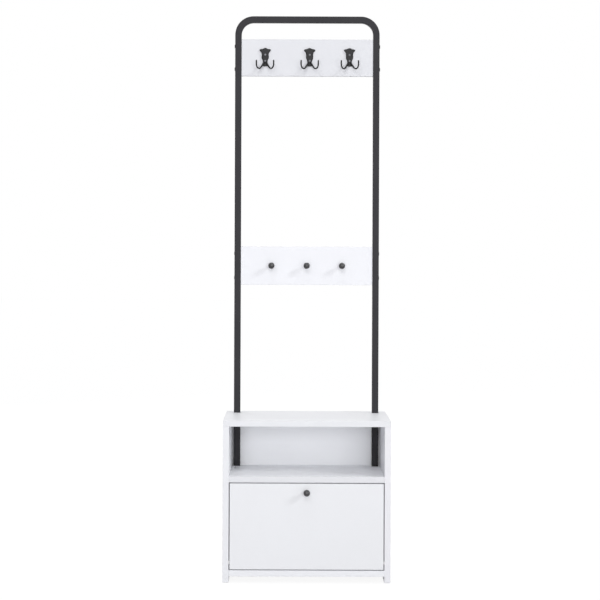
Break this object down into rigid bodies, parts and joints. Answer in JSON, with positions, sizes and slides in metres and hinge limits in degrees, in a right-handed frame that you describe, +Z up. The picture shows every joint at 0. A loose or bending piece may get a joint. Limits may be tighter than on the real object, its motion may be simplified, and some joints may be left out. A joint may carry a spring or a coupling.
{
  "type": "hall tree",
  "caption": "Free-standing hall tree: bent square-tube frame with a hook board and a peg board, on a white cabinet with an open niche and a tip-out bin.",
  "frame": {"origin": "on the floor, under the middle of the whole object's box (the door knob counts in its depth)", "axes": "+X to the right as seen from the front, +Y towards the wall, +Z up; the front faces -Y"},
  "size_m": [0.5, 0.33, 1.725],
  "materials": {
    "white_laminate": "white melamine-faced board, satin",
    "back_laminate": "thin white-faced hardboard, satin",
    "frame_steel": "charcoal powder coat, fine texture",
    "hook_metal": "black lacquered casting, semi-gloss",
    "zinc_steel": "zinc-plated",
    "nylon": "moulded nylon, matte",
    "dowel_wood": "bare beech"
  },
  "bodies": {
    "cabinet": {"top_panel": "white_laminate", "left_side": "white_laminate", "right_side": "white_laminate", "shelf": "white_laminate", "bottom_panel": "white_laminate", "back_panel": "back_laminate", "upper_frame": "frame_steel", "left_lower_upright": "frame_steel", "right_lower_upright": "frame_steel", "left_joint_sleeve": "zinc_steel", "right_joint_sleeve": "zinc_steel", "left_upright_plug": "nylon", "right_upright_plug": "nylon", "upper_board": "white_laminate", "lower_board": "white_laminate", "left_hook": "hook_metal", "middle_hook": "hook_metal", "right_hook": "hook_metal", "left_peg": "hook_metal", "middle_peg": "hook_metal", "right_peg": "hook_metal", "left_pivot_bush": "nylon", "right_pivot_bush": "nylon", "left_stop_pin": "zinc_steel", "right_stop_pin": "zinc_steel", "cam_locks": "zinc_steel", "cam_bolts": "zinc_steel", "dowels": "dowel_wood", "connector_screws": "zinc_steel", "back_nails": "zinc_steel", "upright_screws": "zinc_steel", "floor_glides": "nylon", "wall_bracket": "frame_steel", "wall_bracket_screws": "zinc_steel", "upper_board_bolts": "frame_steel", "lower_board_bolts": "frame_steel", "board_inserts": "zinc_steel", "hook_screws": "hook_metal", "peg_screws": "zinc_steel"},
    "bin": {"door_panel": "white_laminate", "door_knob": "hook_metal", "knob_screw": "zinc_steel", "bin_left_cheek": "white_laminate", "bin_right_cheek": "white_laminate", "bin_floor": "white_laminate", "bin_back": "white_laminate", "corner_brackets": "zinc_steel", "bracket_screws": "zinc_steel", "bin_screws": "zinc_steel", "left_pivot_pin": "zinc_steel", "right_pivot_pin": "zinc_steel"}
  },
  "joints": [
    {"name": "bin_tilt", "type": "hinge", "parent": "cabinet", "child": "bin", "pos_m": [0, -0.126, 0.061], "axis": [1, 0, 0], "range_deg": [0, 45]}
  ]
}
